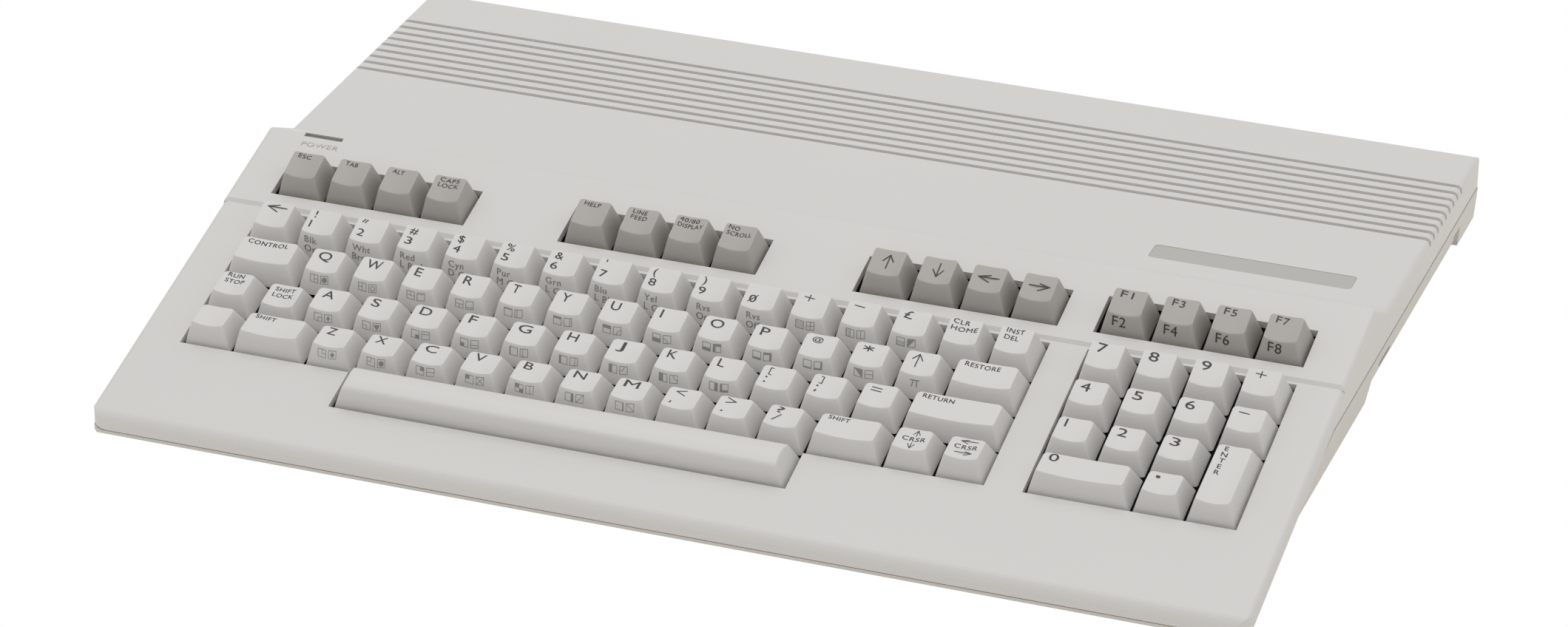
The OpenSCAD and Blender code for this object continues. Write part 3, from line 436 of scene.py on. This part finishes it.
class Print:
    """Collects the flat print of one node. put turns a print's x and y into a point in metres."""

    def __init__(self):
        self.verts, self.faces, self.index = [], [], []

    def add(self, put, points, faces, ink=DARK):
        b = len(self.verts)
        self.verts += [put(x, y) for x, y in points]
        self.faces += [tuple(b + i for i in f) for f in faces]
        self.index += [ink] * len(faces)

    def word(self, put, text, x, y, tall, wide=None, ink=DARK, centred=False):
        """A word with its left end at x and its baseline at y, in the font's own width if none is given."""
        points, faces, natural = word_mesh(text)
        across = wide / natural if wide else tall
        if centred:
            x -= natural * across / 2
        # printed twice, a hair apart, which thickens the strokes
        for d in (-SPREAD, SPREAD):
            self.add(put, [(x + d + a * across, y + d + b * tall) for a, b in points], faces, ink)

    def line(self, put, points, wide, ink=DARK):
        """A line of even width through the points, with square ends."""
        for (x0, y0), (x1, y1) in zip(points, points[1:]):
            long = math.hypot(x1 - x0, y1 - y0)
            ex, ey = (x1 - x0) / long * wide / 2, (y1 - y0) / long * wide / 2
            self.add(put, [(x0 - ex + ey, y0 - ey - ex), (x1 + ex + ey, y1 + ey - ex),
                           (x1 + ex - ey, y1 + ey + ex), (x0 - ex - ey, y0 - ey + ex)], [(0, 1, 2, 3)], ink)

    def arrow(self, put, x, y, way, long, head, wide, spread):
        """An arrow centred at x, y pointing l, r, u or d."""
        dx, dy = {"l": (-1, 0), "r": (1, 0), "u": (0, 1), "d": (0, -1)}[way]
        tip = (x + dx * long / 2, y + dy * long / 2)
        self.line(put, [(x - dx * long / 2, y - dy * long / 2), tip], wide)
        for s in (-spread, spread):
            self.line(put, [tip, (tip[0] - head * (dx - s * dy), tip[1] - head * (dy - s * dx))], wide)

    def disc(self, put, x, y, r, ink=DARK):
        self.add(put, circle(x, y, r), [tuple(range(DISC_SIDES))], ink)

    def ring(self, put, x, y, outer, inner, ink=DARK):
        n = DISC_SIDES
        self.add(put, circle(x, y, outer) + circle(x, y, inner),
                 [(i, (i + 1) % n, n + (i + 1) % n, n + i) for i in range(n)], ink)

    def marks(self, put, marks):
        """Draws marks, each the name of a kind and what its method takes after put."""
        draw = {"word": self.word, "line": self.line, "arrow": self.arrow, "disc": self.disc}
        for kind, *values in marks:
            draw[kind](put, *values)

    def symbol(self, put, code, x, y, side):
        """A block symbol in a framed square, whose places are tenths of its side.

        a, b, c, d: arms from the middle. h, v: line at that height or place. / and \\: slants. disc, ring.
        t: triangle. r: rectangle from corner to corner. q: quarter circle round that corner.
        """
        def at(a, b):
            return x + a * side / 10, y + b * side / 10

        def line(*points):
            self.line(put, [at(*p) for p in points], SYMBOL_LINE, GREY)

        line((0, 0), (10, 0), (10, 10), (0, 10), (0, 0))
        for token in code.split():
            if token in ARMS:
                line((5, 5), ARMS[token])
            elif token in SLANTS:
                line(*SLANTS[token])
            elif token in QUARTERS:
                cx, cy, start = QUARTERS[token]
                turns = [math.radians(start + 30 * i) for i in range(4)]
                line(*[(cx + QUARTER_REACH * math.cos(a), cy + QUARTER_REACH * math.sin(a)) for a in turns])
            elif token == "disc":
                self.disc(put, *at(5, 5), side * SYMBOL_DISC, GREY)
            elif token == "ring":
                self.ring(put, *at(5, 5), *[side * r for r in SYMBOL_RING], GREY)
            else:
                a = [float(v) for v in token[1:].split(",")]
                if token[0] == "h":
                    line((0, a[0]), (10, a[0]))
                elif token[0] == "v":
                    line((a[0], 0), (a[0], 10))
                elif token[0] == "t":
                    self.add(put, [at(a[0], a[1]), at(a[2], a[3]), at(a[4], a[5])], [(0, 1, 2)], GREY)
                elif token[0] == "r":
                    corners = [at(a[0], a[1]), at(a[2], a[1]), at(a[2], a[3]), at(a[0], a[3])]
                    self.add(put, corners, [(0, 1, 2, 3)], GREY)


# ---------------------------------------------------------------- legends
def dots(columns, rows, across, up, x0, y0, wide, high):
    """Rectangles in columns and rows, as code for a symbol."""
    return " ".join(f"r{i * across + x0},{j * up + y0},{i * across + x0 + wide},{j * up + y0 + high}"
                    for i in range(columns) for j in range(rows))


# the two block symbols on the front of a key
SYMBOLS = {
    "Q": ("c d b", "disc"), "W": ("c d a", "ring"), "E": ("a b c", "h8"), "R": ("a b d", "h2"),
    "T": ("h9", "v3"), "Y": ("r0,7.5,10,10", "v7.5"), "U": ("r0,6,10,10", "q10"), "I": ("r0,0,10,5", "q00"),
    "O": ("r0,0,10,4", "r0,7,10,10 r0,0,3,10"), "P": ("r0,0,10,2.5", "r0,7.5,10,10 r7.5,0,10,10"),
    "@": ("h1", "r8,0,10,10 r0,0,10,2"), "*": ("t0,10,10,0,10,10", "h5"),
    "A": ("b d", "t5,9,2,4,8,4 r4.2,1.5,5.8,4"), "S": ("a d", "t5,1,1.5,6,8.5,6 r1.5,6,8.5,8"),
    "D": ("r5,0,10,5", "h6.5"), "F": ("r0,0,5,5", "h3.5"), "G": ("v1", "v3.5"), "H": ("r0,0,2.5,10", "v6.5"),
    "J": ("r0,0,4,10", "q01"), "K": ("r0,0,5,10", "q11"), "L": ("r6,0,10,10", "r0,0,2.5,10 r0,0,10,2.5"),
    "Z": ("b c", "t5,9,2,5,8,5 t5,1,2,5,8,5"), "X": ("a c", "disc"), "C": ("r5,5,10,10", "h5"),
    "V": ("r0,5,5,10", "/ \\"), "B": ("r0,5,5,10 r5,0,10,5", "v5"), "N": ("r7,0,10,10", "/"),
    "M": ("v9", "\\"), "+": (dots(4, 4, 2.5, 2.5, 0, 0, 1.3, 1.3), "a b c d"),
    "-": (dots(2, 4, 2.2, 2.5, 0.4, 0, 1.1, 1.3) + " v5", "v5"),
    "£": (dots(4, 2, 2.5, 2.2, 0, 0.4, 1.3, 1.1) + " h5", "t0,0,0,10,10,10"),
}
SYMBOL_X, SYMBOL_Y, SYMBOL_STEP, SYMBOL_SIDE = -3.85, -4.2, 4.0, 2.95

# Marks of a legend. A word: its left end, baseline, height and width, and where needed its ink and whether
# it is centred instead. A line: its points, width and ink. A disc: its middle and radius. An arrow: its
# middle, way, length, length of the head, width of the line and spread of the head.
MARKS = {
    "<-": [("arrow", -0.25, 3.85, "l", 7.4, 4.0, 0.45, 0.42)],
    "left": [("arrow", 0.0, 1.2, "l", 7.6, 4.1, 0.5, 0.4)],
    "right": [("arrow", 0.0, 1.2, "r", 7.6, 4.1, 0.5, 0.4)],
    "up": [("arrow", 0.0, 1.35, "u", 6.4, 3.1, 0.5, 0.62)],
    "down": [("arrow", 0.0, 1.35, "d", 6.4, 3.1, 0.5, 0.62)],
    "up down": [("word", "CRSR", -4.0, -0.5, 2.3, 8.4), ("arrow", 0.3, 4.2, "u", 3.1, 2.3, 0.32, 0.52),
                ("arrow", 0.0, -2.9, "d", 3.1, 2.3, 0.32, 0.52)],
    "left right": [("word", "CRSR", -4.15, 0.05, 2.3, 8.3), ("arrow", 0.35, 4.5, "l", 6.1, 2.6, 0.32, 0.4),
                   ("arrow", -0.1, -2.1, "r", 6.1, 2.6, 0.32, 0.4)],
    "[:": [("line", [(-2.6, 5.1), (-3.5, 5.1), (-3.5, 1.5), (-2.6, 1.5)], 0.38),
           ("disc", -3.65, -0.1, 0.42), ("disc", -3.65, -2.7, 0.42)],
    "];": [("line", [(-3.6, 5.1), (-2.7, 5.1), (-2.7, 1.5), (-3.6, 1.5)], 0.38),
           ("disc", -3.65, -0.1, 0.42), ("line", [(-3.6, -2.5), (-3.8, -3.2)], 0.6)],
    "<,": [("line", [(0.0, 5.3), (-3.3, 3.9), (0.0, 2.4)], 0.42), ("line", [(-3.5, -2.1), (-3.7, -2.9)], 0.5)],
    ">.": [("line", [(-3.5, 5.4), (-0.2, 3.95), (-3.5, 2.5)], 0.42), ("disc", -3.45, -2.4, 0.42)],
    "?/": [("word", "?", -3.7, 2.3, 3.3, 2.4), ("line", [(-3.75, -2.4), (-1.5, 1.5)], 0.4)],
    "^": [("arrow", -1.93, 1.67, "u", 6.5, 2.9, 0.42, 0.63)],
    "+": [("line", [(-3.6, 4.08), (-0.2, 4.08)], 0.42), ("line", [(-1.9, 5.5), (-1.9, 2.65)], 0.42)],
    "-": [("line", [(-3.65, 4.0), (-0.25, 4.0)], 0.42)],
    "=": [("line", [(-3.65, y), (-0.1, y)], 0.42) for y in (4.3, 2.75)],
    "*": [("line", [(-1.6, 2.27), (-1.6, 4.87)], 0.5), ("line", [(-3.2, 2.87), (0.0, 4.27)], 0.5),
          ("line", [(0.0, 2.87), (-3.2, 4.27)], 0.5)],
    "@": [("word", "@", -3.5, 2.6, 2.25, 3.9)],
    "£": [("word", "£", -4.0, 2.2, 3.65, 2.9)],
    "pad +": [("line", [(-3.1, 4.08), (0.3, 4.08)], 0.42), ("line", [(-1.4, 5.5), (-1.4, 2.65)], 0.42)],
    "pad -": [("line", [(-3.65, 3.4), (-0.25, 3.4)], 0.42)],
    ".": [("disc", -2.86, 3.55, 0.82)],
    "ENTER": [("word", letter, -3.05, 12.695 - 3.22 * i, 2.2, None, DARK, True)
              for i, letter in enumerate("ENTER")],
    **{f"F{i}": [("word", f"F{i}", -3.8, 2.8, 3.1, 4.5)] for i in (1, 3, 5, 7)},
}


def sign(text, x=-4.15):
    """Mark of a sign on top of a number key."""
    return "word", text, x, 2.2, 3.3


def number(text, *signs, wide=2.5):
    """Marks of a number key: those of its sign, then its number."""
    return [*signs, ("word", text, -4.4, -2.86, 3.4, wide)]


NUMBERS = {
    "1": number("1", sign("!", -3.9), wide=None),
    "2": number("2", *[("line", [(x, 3.8), (x + 0.6, 5.35)], 0.42) for x in (-4.2, -3.25)]),
    "3": number("3", sign("#")), "4": number("4", sign("$")), "5": number("5", sign("%")),
    "6": number("6", sign("&")), "7": number("7", sign("'", -3.9)), "8": number("8", sign("(")),
    "9": number("9", sign(")")),
    "0": [("word", "0", -4.1, -2.5, 3.4, 2.5), ("line", [(-4.2, -2.8), (-1.45, 1.3)], 0.32)],
}


def front_words(texts, x=-4.6):
    """Marks of the words on the front of a number key."""
    return [("word", text, x, -3.7 - 3.4 * i, 2.4, None, GREY) for i, text in enumerate(texts.split("/"))]


FRONTS = {
    "1": front_words("Blk/Orng"), "2": front_words("Wht/Brn"), "3": front_words("Red/L Red"),
    "4": front_words("Cyn/D Gry"), "5": front_words("Pur/M Gry"), "6": front_words("Grn/L Grn"),
    "7": front_words("Blu/L Blu"), "8": front_words("Yel/L Gry"), "9": front_words("Rvs/On", -3.5),
    "0": front_words("Rvs/Off", -3.5),
    "^": [("line", [(-2.0, -1.9), (1.1, -1.8)], 0.42, GREY), ("line", [(-1.0, -1.9), (-1.5, -4.1)], 0.42, GREY),
          ("line", [(0.4, -1.8), (0.3, -4.1)], 0.42, GREY)],
    **{f"F{i}": [("word", f"F{i + 1}", -4.1, -4.3, 3.6, 4.9, DARK_FRONT)] for i in (1, 3, 5, 7)},
}
# widths of the printed words and letters
WIDE = {
    "ESC": 5.0, "TAB": 4.8, "ALT": 4.3, "CAPS": 7.5, "LOCK": 7.9, "HELP": 6.2, "LINE": 5.4, "FEED": 6.1,
    "40/80": 7.5, "DISPLAY": 9.6, "NO": 4.0, "SCROLL": 9.4, "CONTROL": 15.8, "RESTORE": 12.9, "RUN": 6.2,
    "STOP": 7.4, "SHIFT": 7.6, "RETURN": 11.4, "CLR": 6.0, "HOME": 9.8, "INST": 6.4, "DEL": 5.2,
    "Q": 4.9, "W": 5.7, "E": 2.5, "R": 3.2, "T": 2.6, "Y": 3.2, "U": 3.4, "O": 4.9, "P": 3.1, "A": 4.1,
    "S": 3.1, "D": 4.2, "F": 2.7, "G": 5.0, "H": 3.6, "J": 2.7, "K": 3.2, "L": 2.3, "Z": 3.2, "X": 3.7,
    "C": 4.5, "V": 3.9, "B": 3.1, "N": 4.3, "M": 5.5,
}
PAD_WIDE = 3.3                     # width of a number on the pad, but for the 1
EDGE = 2.35                        # from the left edge of the top to the print
# in each row: baseline of a word's first line, step to its second line, and height
LINES = {"fn": (4.0, 2.7, 1.9), "r1": (3.7, 3.3, 2.1), "r2": (2.95, 3.3, 2.1), "r3": (3.1, 3.3, 2.1),
         "r4": (3.4, 3.3, 2.1)}
LIFT = {"RUN|STOP": 0.7, "SHIFT|LOCK": -0.5}           # words that sit off their row's baseline
# in each row: baseline and height of a large letter
LETTERS = {"r1": (1.7, 4.2), "r2": (0.85, 4.2), "r3": (1.15, 4.2), "r4": (1.6, 4.0)}
LONG_WORD = 8.7                    # a word from this width on starts further left on a cap one key wide
SHORT_X, LONG_X = -4.1, -4.85


def print_top(p, cap, text, row, pad):
    """Prints the top of a cap. text is its legend, and | parts two lines."""
    top, x = cap.on_top, cap.left + EDGE
    if text in MARKS:
        p.marks(top, MARKS[text])
    elif text in NUMBERS and not pad:
        p.marks(top, NUMBERS[text])
    elif len(text) == 1:
        p.word(top, text, x, *LETTERS[row], WIDE.get(text, PAD_WIDE if pad and text != "1" else None))
    else:
        lines = text.split("|")
        if cap.hx < PITCH / 2:
            x = SHORT_X if max(WIDE[t] for t in lines) < LONG_WORD else LONG_X
        base, step, tall = LINES[row]
        for i, t in enumerate(lines):
            p.word(top, t, x, base + LIFT.get(text, 0.0) - step * i, tall, WIDE[t])


def print_front(p, cap, text):
    """Prints the front of a cap that isn't on the number pad."""
    if text in FRONTS:
        p.marks(cap.on_front, FRONTS[text])
    elif text in SYMBOLS:
        for i, code in enumerate(SYMBOLS[text]):
            p.symbol(cap.on_front, code, SYMBOL_X + SYMBOL_STEP * i, SYMBOL_Y, SYMBOL_SIDE)


# ---------------------------------------------------------------- the keys
def run(x, y, row, texts, pad=False):
    """Caps one key wide, side by side: x, y, width and height in keys, row, legend, on the pad or not."""
    return [(x + i, y, 1, 1, row, text, pad) for i, text in enumerate(texts)]


GREY_KEYS_Y = 4.5                  # in keys, half a key behind the number row
GREY_KEYS = [
    ("escape_key", 0, "ESC"), ("tab_key", 1, "TAB"), ("alternate_key", 2, "ALT"),
    ("caps_lock_key", 3, "CAPS|LOCK"), ("help_key", 6, "HELP"), ("line_feed_key", 7, "LINE|FEED"),
    ("column_switch_key", 8, "40/80|DISPLAY"), ("no_scroll_key", 9, "NO|SCROLL"), ("up_arrow_key", 12, "up"),
    ("down_arrow_key", 13, "down"), ("left_arrow_key", 14, "left"), ("right_arrow_key", 15, "right"),
    ("function_1_2_key", 16.75, "F1"), ("function_3_4_key", 17.75, "F3"), ("function_5_6_key", 18.75, "F5"),
    ("function_7_8_key", 19.75, "F7"),
]
PALE_KEYS = {
    "number_row_keys": run(0, 3, "r1", ["<-", *"1234567890+-£", "CLR|HOME", "INST|DEL"]),
    "top_letter_keys": run(1.5, 2, "r2", "QWERTYUIOP@*^"),
    "middle_letter_keys": run(0, 1, "r3", ["RUN|STOP"]) + run(2, 1, "r3", [*"ASDFGHJKL", "[:", "];", "="]),
    "bottom_letter_keys": run(0, 0, "r4", [""]) + run(2.5, 0, "r4", [*"ZXCVBNM", "<,", ">.", "?/"])
    + run(14, 0, "r4", ["up down", "left right"]),
    "numpad_keys": run(16.75, 3, "r1", [*"789", "pad +"], True) + run(16.75, 2, "r2", [*"456", "pad -"], True)
    + run(16.75, 1, "r3", "123", True) + run(18.75, 0, "r4", ".", True),
    "control_key": [(0, 2, 1.5, 1, "r2", "CONTROL", False)],
    "restore_key": [(14.5, 2, 1.5, 1, "r2", "RESTORE", False)],
    "shift_lock_key": [(1, 1, 1, 1, "r3", "SHIFT|LOCK", False)],
    "return_key": [(14, 1, 2, 1, "r3", "RETURN", False)],
    "left_shift_key": [(1, 0, 1.5, 1, "r4", "SHIFT", False)],
    "right_shift_key": [(12.5, 0, 1.5, 1, "r4", "SHIFT", False)],
    "numpad_enter_key": [(19.75, 0, 1, 2, "r4", "ENTER", True)],
    "numpad_zero_key": [(16.75, 0, 2, 1, "r4", "0", True)],
}


def key_piece(name, verts, faces, node, mat):
    """A key's dressed shape in the place of its CAD solid."""
    o = piece(name, verts, faces, node + "_body", [mat])
    smooth_angle(o, CAP_SMOOTH)
    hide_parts(node)


def make_keys(node, caps, mat):
    """Builds the caps of one node and their legends."""
    verts, faces = [], []
    legend = Print()
    for x, y, w, h, row, text, pad in caps:
        cap = Cap(x, y, w, h, row, LATCHED if node == "shift_lock_key" else 0.0)
        points, polygons = cap.mesh()
        b = len(verts)
        verts += [cap.place(*p) for p in points]
        faces += [tuple(b + i for i in q) for q in polygons]
        if text:
            print_top(legend, cap, text, row, pad)
            if not pad:
                print_front(legend, cap, text)
    key_piece(node + "_caps", verts, faces, node, mat)
    if legend.verts:
        piece(node + "_legend", legend.verts, legend.faces, node + "_body", INKS,
              legend.index, smooth=False)


for node, x, text in GREY_KEYS:
    make_keys(node, run(x, GREY_KEYS_Y, "fn", [text]), CAP_GREY)
for node, caps in PALE_KEYS.items():
    make_keys(node, caps, CAP)

centre = Vector((LEFT + BAR_MIDDLE * PITCH, -PITCH / 2, 0))
points, polygons = bar_mesh()
key_piece("space_bar_cap", [DECK @ ((Vector(p) + centre) * MM) for p in points], polygons, "space_bar", CAP)


# ---------------------------------------------------------------- the rest of the computer
soften(paint("top_case", CASE), 0.3, 3)
soften(paint("bottom_case", CASE_LOW), 0.25, 2)
for mat, nodes in [
    (BADGE, "name_badge"), (LENS, "power_lamp_lens"), (LAMP, "power_lamp"), (RUBBER, "rubber_feet"),
    (ZINC, "case_screws key_springs keyboard_screws board_screws"), (FRAME, "keyboard_frame"),
    (BOARD, "keyboard_circuit_board main_circuit_board"), (CHIP, "logic_chips memory_chips"),
    (RIBBON, "keyboard_cable"), (SHEET, "shield_bottom"), (CAP, "channel_switch_slider reset_button"),
    (TIN, "shield_top rf_modulator monitor_socket joystick_sockets"),
    (SOCKET, "expansion_socket serial_socket video_socket reset_switch power_switch_body "
             "power_switch_rocker power_socket"),
]:
    for node in nodes.split():
        smooth_angle(paint(node, mat), PLAIN_SMOOTH)


def on_deck(x, y):
    return DECK @ (Vector((x, y, DECK_STEP + PRINT_LIFT)) * MM)


# raised word in front of the lamp window, drawn flat just over the deck; its darker tint is painted shade of
# the relief
power = Print()
power.word(on_deck, "POWER", -198.7, 114.2, 2.4, 14.8)
piece("power_word", power.verts, power.faces, "computer", [EMBOSS_SHADE], smooth=False)


# ---------------------------------------------------------------- camera, floor and light
CAMERA_AT = (0.62746, -1.79963, 0.98214)               # in metres, as the floor and the panel
CAMERA_WAY = (-0.29899, 0.8407, -0.4514)
CAMERA_UP = (-0.16096, 0.42183, 0.89227)
LENS_MM, SENSOR_MM = 132.97, 36
LENS_SHIFT = (0.00794, 0.00289)
FLOOR_HALF, FLOOR_Z = 6.0, -0.0002                     # just under the feet
WORLD_STRENGTH = 0.735
PANEL_AT, PANEL_SIZE, PANEL_WATTS = (-0.1, 0.5, 2.3), 2.2, 17.5
WHITE = (1, 1, 1, 1)


def split_by_camera(tree, lit, seen, output):
    """Shows one shader to the camera and lets the other one light the scene."""
    path = add(tree, "ShaderNodeLightPath")
    mix = add(tree, "ShaderNodeMixShader")
    tree.links.new(path.outputs["Is Camera Ray"], mix.inputs[0])
    tree.links.new(lit.outputs[0], mix.inputs[1])
    tree.links.new(seen.outputs[0], mix.inputs[2])
    tree.links.new(mix.outputs[0], tree.nodes[output].inputs["Surface"])


def camera():
    data = bpy.data.cameras.new("camera")
    cam = bpy.data.objects.new("camera", data)
    bpy.context.scene.collection.objects.link(cam)
    back = -Vector(CAMERA_WAY).normalized()
    right = Vector(CAMERA_UP).cross(back).normalized()
    turn = Matrix((right, back.cross(right), back)).transposed().to_4x4()
    cam.matrix_world = Matrix.Translation(CAMERA_AT) @ turn
    data.sensor_width = SENSOR_MM
    data.lens = LENS_MM
    data.shift_x, data.shift_y = LENS_SHIFT
    data.clip_end = 100
    bpy.context.scene.camera = cam


def floor():
    """A pale table that bounces light, and that the camera sees as white."""
    me = bpy.data.meshes.new("floor")
    me.from_pydata([(x * FLOOR_HALF, y * FLOOR_HALF, FLOOR_Z) for x, y in SQUARE], [], [(0, 1, 2, 3)])
    o = bpy.data.objects.new("floor", me)
    bpy.context.scene.collection.objects.link(o)
    m = material("white_table", "FAF7F1", 0.9)
    tree = m.node_tree
    white = add(tree, "ShaderNodeEmission", Color=WHITE, Strength=1.0)
    split_by_camera(tree, tree.nodes["Principled BSDF"], white, "Material Output")
    me.materials.append(m)


def lights():
    """Even white light from all round, with a soft panel above."""
    world = bpy.data.worlds.new("world")
    bpy.context.scene.world = world
    world.use_nodes = True
    tree = world.node_tree
    lit = tree.nodes["Background"]
    lit.inputs["Color"].default_value = WHITE
    lit.inputs["Strength"].default_value = WORLD_STRENGTH
    white = add(tree, "ShaderNodeBackground", Color=WHITE, Strength=1.0)
    split_by_camera(tree, lit, white, "World Output")
    data = bpy.data.lights.new("sky_panel", "AREA")
    data.size = PANEL_SIZE
    data.energy = PANEL_WATTS
    o = bpy.data.objects.new("sky_panel", data)
    o.location = PANEL_AT
    o.rotation_mode = "QUATERNION"
    o.rotation_quaternion = Vector(PANEL_AT).to_track_quat("Z", "Y")
    bpy.context.scene.collection.objects.link(o)


camera()
floor()
lights()
bpy.context.scene.view_settings.view_transform = "Standard"
